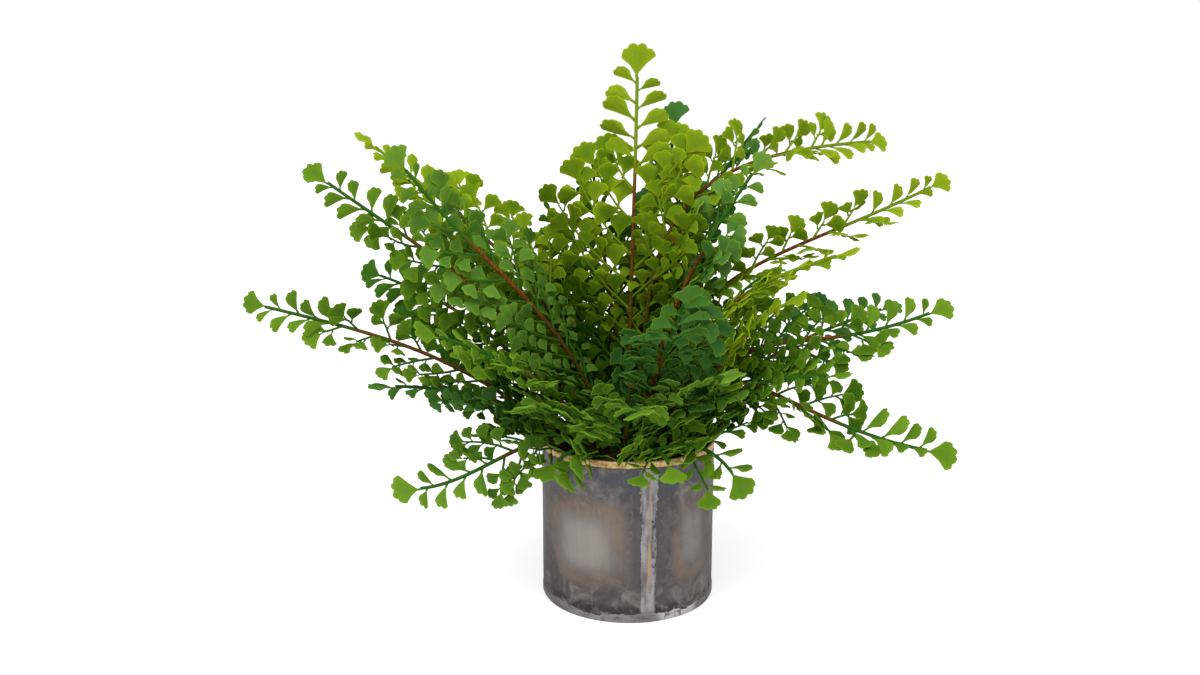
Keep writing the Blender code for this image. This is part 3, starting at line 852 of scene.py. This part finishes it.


# fronds

# turn, reach and height place the tip, foot and footTurn the stem in the soil; rise and dip are its slopes
# at foot and tip; roll turns a frond about its stem, twist turns its end, fold droops its branches;
# cool changes its greens, and shade is the strength of the painted shade at its foot, a painted light
# below zero
frondFields = ("turn", "reach", "height", "rise", "dip", "handle", "roll", "foot", "footTurn",
               "tone", "cool", "singles", "pairs", "fold", "twist", "size", "shade")
frondRows = (
    # upright in the middle
    (80, 0.038, 0.399, 88, 86, 0.42, 0, 0.004, 90, "bright", 0.0, 5, 4, 0, 0, 1.24, 1.5),
    (60, 0.072, 0.363, 82, 84, 0.42, -10, 0.012, 50, "dark", 1.3, 4, 2, 0, 0, 1.00, 1.0),
    (112, 0.074, 0.325, 80, 74, 0.42, 0, 0.014, 95, "dark", 0.0, 4, 3, 0, 55, 0.95, 1.0),
    (130, 0.100, 0.292, 78, 64, 0.42, -20, 0.020, 115, "dark", 0.0, 4, 3, 0, 50, 0.95, 1.0),
    (150, 0.094, 0.285, 80, 76, 0.42, -30, 0.022, 132, "bright", 0.0, 3, 2, 0, 0, 0.85, 1.4),
    # left, top to bottom
    (160, 0.222, 0.340, 74, 36, 0.42, -45, 0.016, 150, "bright", 0.0, 4, 2, -10, 34, 1.00, 1.0),
    (190, 0.167, 0.331, 76, 56, 0.42, -50, 0.013, 195, "mid", 0.4, 3, 2, 0, -14, 1.00, 0.6),
    (178, 0.232, 0.316, 64, 36, 0.42, -45, 0.022, 172, "mid", 0.0, 4, 2, -8, 10, 1.00, 0.4),
    (155, 0.238, 0.230, 50, 12, 0.42, -50, 0.034, 155, "dark", 0.0, 3, 2, -10, 0, 1.08, 0.5),
    (182, 0.280, 0.222, 42, 14, 0.42, -58, 0.036, 182, "mid", 0.0, 4, 1, -46, -28, 0.92, 0.7),
    (190, 0.188, 0.165, 54, 4, 0.42, -5, 0.044, 195, "dark", 0.5, 3, 1, 0, 0, 0.98, 0.15),
    (215, 0.170, 0.218, 58, 22, 0.42, -12, 0.024, 218, "mid", 0.0, 3, 2, 0, 0, 0.98, -0.60),
    (208, 0.180, 0.109, 64, 25, 0.42, -40, 0.044, 212, "mid", 0.2, 4, 2, -10, 0, 1.02, 0.1),
    # right, top to bottom
    (25, 0.231, 0.333, 96, 2, 0.60, 40, 0.018, 30, "bright", 0.0, 4, 1, -44, 34, 0.89, 1.0),
    (45, 0.158, 0.350, 80, 35, 0.42, 8, 0.020, 62, "dark", 0.4, 3, 1, 0, -48, 0.95, 1.0),
    (350, 0.097, 0.328, 84, 56, 0.42, 30, 0.011, 345, "mid", 0.7, 3, 2, 0, 24, 1.00, 1.0),
    (3, 0.235, 0.310, 88, 28, 0.50, 56, 0.020, 5, "bright", 0.0, 4, 1, -56, 10, 0.85, 1.0),
    (332, 0.169, 0.268, 64, 20, 0.58, -8, 0.022, 325, "bright", 0.0, 4, 1, 0, 0, 0.95, 0.7),
    (325, 0.142, 0.238, 56, 22, 0.42, 20, 0.032, 335, "bright", 0.0, 3, 1, 0, 0, 0.92, 0.7),
    (20, 0.235, 0.206, 46, 14, 0.42, 40, 0.036, 22, "dark", 0.6, 4, 2, -18, 0, 0.93, 0.8),
    (357, 0.233, 0.221, 70, 26, 0.58, 40, 0.034, 0, "mid", 0.0, 4, 2, -22, 0, 0.92, 0.7),
    (332, 0.167, 0.184, 80, 8, 0.42, 20, 0.044, 332, "mid", 0.0, 3, 1, -14, 0, 0.95, 0.3),
    (345, 0.232, 0.123, 84, -2, 0.64, 40, 0.044, 345, "mid", 0.0, 4, 1, -36, 0, 1.06, 0.05),
    # front, towards the viewer and over the rim
    (284, 0.140, 0.252, 66, 48, 0.42, 0, 0.022, 285, "dark", 0.5, 3, 2, 0, 0, 1.05, 0.35),
    (272, 0.130, 0.168, 60, -6, 0.42, 0, 0.034, 262, "mid", 0.2, 2, 3, 0, 0, 1.00, -0.10),
    (230, 0.092, 0.104, 76, -70, 0.48, -25, 0.040, 240, "mid", 0.0, 2, 3, 0, 0, 1.05, -0.25),
    (287, 0.100, 0.110, 76, -60, 0.48, 0, 0.042, 284, "mid", 0.0, 2, 3, 0, 0, 0.98, 0.05),
    (316, 0.107, 0.096, 78, -72, 0.48, 35, 0.042, 314, "mid", 0.0, 3, 4, 0, 0, 1.10, 0.05),
    (233, 0.125, 0.165, 60, 0, 0.42, 0, 0.034, 232, "mid", 0.3, 3, 3, 0, 0, 1.00, -0.40),
    (300, 0.135, 0.190, 62, 5, 0.42, 0, 0.030, 302, "mid", 0.4, 3, 3, 0, 0, 1.00, 0.20),
    # behind
    (125, 0.212, 0.235, 58, 10, 0.42, 0, 0.036, 125, "mid", 0.0, 4, 3, 0, 0, 1.12, 1.0),
    (80, 0.200, 0.212, 58, 5, 0.42, 0, 0.036, 82, "bright", 0.0, 4, 3, 0, 0, 1.12, 1.0),
    (48, 0.195, 0.225, 58, 12, 0.42, 0, 0.036, 50, "mid", 0.0, 4, 3, 0, 0, 1.12, 1.0),
    (102, 0.160, 0.125, 64, -30, 0.42, 0, 0.046, 104, "dark", 0.0, 3, 3, 0, 0, 1.12, 1.0),
    (62, 0.160, 0.130, 64, -30, 0.42, 0, 0.046, 64, "mid", 0.0, 3, 3, 0, 0, 1.12, 1.0),
)

frondShape = {
    "footRise": 0.0012,
    "stemFoot": 0.0018,
    "stemTip": 0.0012,
    "stemSides": 8,
    "stemRows": 30,
    "stemBuried": 0.010,
    "stemShadeFade": (0.20, 0.66),  # shares of the length over which its painted shade fades out
    "greenSteps": 4.3,  # steps of single leaves below the tip where the brown begins
    "tipLength": 0.0198,
    "tipSizes": (0.88, 1.0),
    # painted light on the leaf at the tip
    "tipPaintedLight": -0.45,
    "singleStep": 0.0136,
    "singleLengths": (0.0155, 0.0195, 0.0212, 0.0222, 0.0222),
    "singleSizes": (0.92, 1.08),
    "singleAngle": 52,
    # painted light on the single leaves
    "singlePaintedLight": -0.40,
    "lowest": 0.009,
    "shortest": 0.12,  # ribs shorter than this carry small branches close together
    "opening": (0.07, 0.17),  # distances from the pot over which the branches open out
    "samples": 200,
    "window": 0.004,
}
pinnaShape = {
    "gap": 0.0100,
    "step": 0.0120,
    "angle": 50,
    "sizes": (0.90, 1.08),
    "folding": (0.25, 0.45),
    "first": 0.0090,
    "leafStep": 0.0130,
    "leaf": 0.0170,
    "leafSizes": (0.84, 1.12),
    "tip": 0.0178,
    "half": 0.00088,
    "sides": 5,
    "rows": 4,
    "curl": 10,
    "lifts": (0, 20, 20, 20),
    # shares of the rib over which painted shade fades, then painted light grows towards the end
    "shadeFade": (0.05, 0.62),
    "endLight": 0.35,
}


class Rib:  # the curve of one frond, the same as its solid's
    def __init__(self, row):
        self.row = row
        self.side = polar(1.0, row["turn"] + 90)
        foot = polar(row["foot"], row["footTurn"], soilHeight(row["foot"]) + frondShape["footRise"])
        tip = polar(row["reach"], row["turn"], row["height"])
        span = (tip - foot).length * row["handle"]
        start = aim(row["turn"], row["rise"]) * span
        end = aim(row["turn"], row["dip"]) * span
        self.controls = (foot, foot + start, tip - end, tip)
        samples = frondShape["samples"]
        table = [self.curve(i / samples) for i in range(samples + 1)]
        self.lengths = [0.0]
        for before, after in zip(table, table[1:]):
            self.lengths.append(self.lengths[-1] + (after - before).length)
        self.length = self.lengths[-1]
        self.isShort = self.length < frondShape["shortest"]

    def curve(self, t):
        a, b, c, d = self.controls
        s = 1.0 - t
        return a * s ** 3 + b * (3 * s * s * t) + c * (3 * s * t * t) + d * t ** 3

    def share(self, distance):  # where on the curve a distance along it lies
        distance = min(max(distance, 0.0), self.length)
        i = max(bisect.bisect_left(self.lengths, distance) - 1, 0)
        before, after = self.lengths[i:i + 2]
        return (i + (distance - before) / (after - before)) / frondShape["samples"]

    def frame(self, distance):  # a matrix: X to the rib's side, Y ahead, Z off its upper face
        t = self.share(distance)
        low, high = max(t - frondShape["window"], 0.0), min(t + frondShape["window"], 1.0)
        ahead = (self.curve(high) - self.curve(low)).normalized()
        side = (self.side - ahead * ahead.dot(self.side)).normalized()
        share = distance / self.length
        turn = self.row["roll"] * min(1.0, 2.5 * share) + self.row["twist"] * smoothStep(0.50, 1.0, share)
        side = Matrix.Rotation(math.radians(turn), 3, ahead) @ side
        up = (-side).cross(ahead)
        return Matrix.Translation(self.curve(t)) @ Matrix((-side, ahead, up)).transposed().to_4x4()


def tube(bm, layers, frames, radii, sides, stems, paintedShadings):  # a tapered tube, closed at both ends
    start = bmesh.ops.create_circle(bm, cap_ends=True, radius=1.0, segments=sides)["verts"]
    edges = list({edge for vert in start for edge in vert.link_edges})
    loops = [start]
    for _ in frames[1:]:
        made = bmesh.ops.extrude_edge_only(bm, edges=edges)["geom"]
        edges = [part for part in made if isinstance(part, bmesh.types.BMEdge)
                 and all(vert in made for vert in part.verts)
                 and not any(vert in loops[-1] for vert in part.verts)]
        loops.append([part for part in made if isinstance(part, bmesh.types.BMVert)])
    bmesh.ops.contextual_create(bm, geom=edges)
    upright = turnBy(90, "X")
    # each ring gets its stem share and its painted shade or painted light
    for loop, place, radius, stem, paintedShading in zip(loops, frames, radii, stems, paintedShadings):
        bmesh.ops.transform(bm, verts=loop, matrix=place @ upright @ Matrix.Scale(radius, 4))
        for vert in loop:
            vert[layers["stem"]] = stem
            vert[layers["paintedShading"]] = paintedShading
    faces = list({face for loop in loops for vert in loop for face in vert.link_faces})
    bmesh.ops.recalc_face_normals(bm, faces=faces)


potRoom = {"wall": 0.004, "soil": 0.001, "side": 0.0012, "top": 0.0015}  # what leaves keep off the pot
leafletProbes = ((0, 0.4), (0, 1), (0.5, 0.8), (-0.5, 0.8))  # points of a unit leaflet
leafletLifts = (0, 25, 50, 75)


def inPot(place):  # whether a point lies in the bead, the wall or the soil
    radius = place.xy.length
    if radius < wallRadius - potRoom["wall"]:
        return place.z < soilHeight(radius) + potRoom["soil"]
    return radius < potRadius + potRoom["side"] and place.z < beadHigh.z + potRoom["top"]


def addLeaflet(bm, layers, kind, way, place, size, looks):  # raised off the pot, or left out
    for lift in leafletLifts:
        raised = place @ turnBy(lift, "X")
        probes = [raised @ Vector((x * size, y * size, 0)) for x, y in leafletProbes]
        if not any(inPot(probe) for probe in probes):
            break
    else:
        return
    known = len(bm.verts)
    bm.from_mesh(leaflets[kind, way])
    bm.verts.ensure_lookup_table()
    fresh = bm.verts[known:]
    bmesh.ops.transform(bm, verts=fresh, matrix=raised @ Matrix.Scale(size, 4))
    for vert in fresh:
        for name, value in looks.items():
            vert[layers[name]] = value


def leafletLooks(draw, cool, paintedShading):  # cool leaves are the lighter ones of their tone
    return {"draw": draw.random() * (1 - 0.4 * cool) + 0.4 * cool, "cool": cool, "paintedShading": paintedShading}


def deepness(distance):  # 1 in the shaded middle near the pot, 0 where the branches are open
    return 1 - smoothStep(*frondShape["opening"], distance)


def addPinna(bm, layers, rib, distance, way, pairs, draw):
    # a side branch: its own thin stem, pairs of leaflets along it and one at its end
    shape = pinnaShape
    row = rib.row
    size = draw.uniform(*shape["sizes"]) * row["size"]
    share = distance / rib.length
    place = rib.frame(distance) @ turnBy(way * row["fold"] * smoothStep(*shape["folding"], share), "Y")
    place = place @ turnBy(-way * (shape["angle"] + draw.uniform(-7, 7)), "Z")
    deep = deepness(distance) * (0.3 if rib.isShort else 1.0)
    loose = 18 + 36 * deep
    leafStep = shape["leafStep"] * (1 - 0.26 * deep)
    place = place @ turnBy(draw.uniform(-16, 10), "X") @ turnBy(draw.uniform(-loose, loose), "Y")
    end = (shape["first"] + leafStep * (pairs - 1)) * size + leafStep * 0.60 * size
    curl = way * shape["curl"] * draw.uniform(0.4, 1.6)
    droop = draw.uniform(-14, 6)

    def along(station):
        part = station / end
        bend = turnBy(curl * part, "Z") @ turnBy(droop * part, "X")
        return place @ bend @ Matrix.Translation((0, station, 0))

    for lift in shape["lifts"]:
        place = place @ turnBy(lift, "X")
        if not inPot(along(end).translation) and not inPot(along(end / 2).translation):
            break
    else:
        return
    # painted shade towards the frond's foot, painted light towards its end
    paintedShading = (1 - smoothStep(*shape["shadeFade"], share)) * row["shade"]
    paintedShading -= shape["endLight"] * smoothStep(shape["shadeFade"][1], 1.0, share)
    rows = shape["rows"]
    frames = [along(end * i / (rows - 1)) for i in range(rows)]
    radii = [shape["half"] * (1.15 - 0.35 * i / (rows - 1)) for i in range(rows)]
    tube(bm, layers, frames, radii, shape["sides"], (1.0,) * rows, (paintedShading,) * rows)
    for i in range(pairs):
        start = (shape["first"] + leafStep * i) * size
        for side in (1, -1):
            shift = leafStep * (0.0 if side == way else 0.25) * size
            spot = along(min(start + shift, end)) @ turnBy(-side * draw.uniform(40, 58), "Z")
            spot = spot @ turnBy(draw.uniform(-24, 18), "X") @ turnBy(draw.uniform(-26, 26), "Y")
            leaf = shape["leaf"] * (1 - 0.30 * deep) * size * draw.uniform(*shape["leafSizes"])
            looks = leafletLooks(draw, row["cool"], paintedShading)
            addLeaflet(bm, layers, "single" if rib.isShort else "side", side, spot, leaf, looks)
    spot = along(end) @ turnBy(draw.uniform(-12, 12), "Z") @ turnBy(draw.uniform(-20, 12), "X")
    looks = leafletLooks(draw, row["cool"], paintedShading)
    addLeaflet(bm, layers, "tip", way, spot, shape["tip"] * (0.95 - 0.28 * deep) * size, looks)


def addStem(bm, layers, rib, tipStart):  # brown from the soil up and green among the single leaves
    shape = frondShape
    rows = shape["stemRows"]
    distances = [tipStart * i / (rows - 1) for i in range(rows)]
    radii = [shape["stemFoot"] + (shape["stemTip"] - shape["stemFoot"]) * d / tipStart for d in distances]
    brownEnd = tipStart - shape["singleStep"] * shape["greenSteps"]
    stems = [2.0 - smoothStep(brownEnd * 0.90, brownEnd + 0.004, d) for d in distances]
    # painted shade, darkest where the stem leaves the soil
    paintedShadings = [1 - smoothStep(*shape["stemShadeFade"], d / rib.length) for d in distances]
    frames = [rib.frame(d) for d in distances]
    root = frames[0].copy()
    root.translation = root.translation - Vector((0, 0, shape["stemBuried"]))
    tube(bm, layers, [root] + frames, [radii[0]] + radii, shape["stemSides"], [2.0] + stems, [1.0] + paintedShadings)


def addTopLeaves(bm, layers, rib, tipStart, draw):  # the leaf at the tip and the pairs of single leaves
    shape = frondShape
    row = rib.row
    # the top leaves get painted light
    looks = leafletLooks(draw, row["cool"], shape["tipPaintedLight"])
    spot = rib.frame(tipStart) @ turnBy(draw.uniform(-26, 26), "Y")
    leaf = shape["tipLength"] * draw.uniform(*shape["tipSizes"]) * row["size"]
    addLeaflet(bm, layers, "tip", 1, spot, leaf, looks)
    for i, length in enumerate(shape["singleLengths"][:row["singles"]]):
        start = tipStart - shape["singleStep"] * (i + 0.40)
        for side in (1, -1):
            spot = rib.frame(start - (0.4 * shape["singleStep"] if side > 0 else 0))
            spot = spot @ turnBy(side * row["fold"], "Y")
            spot = spot @ turnBy(-side * (shape["singleAngle"] + draw.uniform(-6, 8)), "Z")
            spot = spot @ turnBy(draw.uniform(-12, 12), "X") @ turnBy(side * draw.uniform(-4, 46), "Y")
            leaf = length * draw.uniform(*shape["singleSizes"]) * row["size"]
            looks = leafletLooks(draw, row["cool"], shape["singlePaintedLight"])
            addLeaflet(bm, layers, "single", side, spot, leaf, looks)


def addPinnae(bm, layers, rib, start, way, draw):  # side branches on either side in turn, down to the pot
    most = rib.row["pairs"]
    order = 0
    while start > frondShape["lowest"]:
        deep = deepness(start)
        pairs = min(1 + order // 2 + most // 4, most)
        if order > 5:
            pairs = max(pairs, 3 if most > 1 else 2)
        if deep > 0.3:
            pairs += 1
        addPinna(bm, layers, rib, start, way, pairs, draw)
        start -= pinnaShape["step"] * (0.60 if rib.isShort else 1.0 - 0.40 * deep)
        way = -way
        order += 1


def makeFrond(number, row):
    rib = Rib(row)
    draw = random.Random(number * 31 + 5)
    bm = bmesh.new()
    bm.loops.layers.uv.new("fan")
    layers = {name: bm.verts.layers.float.new(name) for name in ("draw", "cool", "paintedShading", "stem")}
    tipStart = rib.length - frondShape["tipLength"]
    addStem(bm, layers, rib, tipStart)
    addTopLeaves(bm, layers, rib, tipStart, draw)
    gap = pinnaShape["gap"] * (0.3 if rib.isShort else 1.0)
    start = tipStart - frondShape["singleStep"] * (row["singles"] - 0.6) - gap
    addPinnae(bm, layers, rib, start, 1 if number % 2 else -1, draw)
    name = "frond_%02d" % number
    piece = finishPiece(bm, "fern_" + name, leafMaterials[row["tone"]], 50)
    return dress(piece, "leaf_" + row["tone"], name)


triangles = 0
for number, values in enumerate(frondRows, 1):
    piece = makeFrond(number, dict(zip(frondFields, values)))
    triangles += sum(len(face.vertices) - 2 for face in piece.data.polygons)
print("fronds made:", len(frondRows), "triangles:", triangles)


# floor, light and camera

stageLooks = {
    "floorHalf": 14.0,
    "floor": (0.74, 0.74, 0.74),
    "floorGlow": 0.55,
    "seen": 1.0,
    "ambient": 0.42,
    "lens": 32,
    "sensor": 36,
    "cameraPlace": (-0.0208, -0.7628, 0.344),
    "cameraTilt": 78.8,
}
suns = (
    # name, turn and height it shines from, strength, spread in degrees
    ("key", 240, 52, 1.45, 70),
    ("fill", 312, 40, 0.75, 100),
    ("top", 90, 76, 0.60, 110),
)


def makeFloor():
    bm = bmesh.new()
    bmesh.ops.create_grid(bm, x_segments=2, y_segments=2, size=stageLooks["floorHalf"])
    looks = {"Roughness": 0.9, "Specular IOR Level": 0.1, "Base Color": (*stageLooks["floor"], 1.0),
             "Emission Strength": stageLooks["floorGlow"]}
    material, flow, shader = newMaterial("pale_floor", looks)
    seen = flow.node("LightPath", output="Is Camera Ray")
    feed(material, shader, {"Emission Color": seen.blend((0, 0, 0), (1, 1, 1))})
    floor = finishPiece(bm, "floor", material)


def makeSun(name, turn, height, strength, spread):
    light = bpy.data.lights.new("sun_" + name, "SUN")
    light.energy = strength
    light.angle = math.radians(spread)
    lamp = bpy.data.objects.new("sun_" + name, light)
    away = aim(turn, height)
    lamp.rotation_euler = away.to_track_quat("Z", "Y").to_euler()
    lamp.location = away * 2
    bpy.context.scene.collection.objects.link(lamp)


def makeWorld():
    world = bpy.data.worlds.new("studio")
    world.use_nodes = True
    bpy.context.scene.world = world
    flow = Flow(world.node_tree)
    seen = flow.node("LightPath", output="Is Camera Ray")
    strength = seen * (stageLooks["seen"] - stageLooks["ambient"]) + stageLooks["ambient"]
    background = world.node_tree.nodes["Background"]
    background.inputs["Color"].default_value = (1, 1, 1, 1)
    world.node_tree.links.new(strength.socket, background.inputs["Strength"])


def makeCamera():
    data = bpy.data.cameras.new("camera")
    data.lens = stageLooks["lens"]
    data.sensor_width = stageLooks["sensor"]
    data.clip_start = 0.01
    camera = bpy.data.objects.new("camera", data)
    camera.location = stageLooks["cameraPlace"]
    camera.rotation_euler = (math.radians(stageLooks["cameraTilt"]), 0, 0)
    bpy.context.scene.collection.objects.link(camera)
    bpy.context.scene.camera = camera


makeFloor()
for sun in suns:
    makeSun(*sun)
makeWorld()
makeCamera()
bpy.context.scene.view_settings.view_transform = "Standard"
for mesh in leaflets.values():
    bpy.data.meshes.remove(mesh)
print("floor, light and camera made")

bpy.context.view_layer.update()
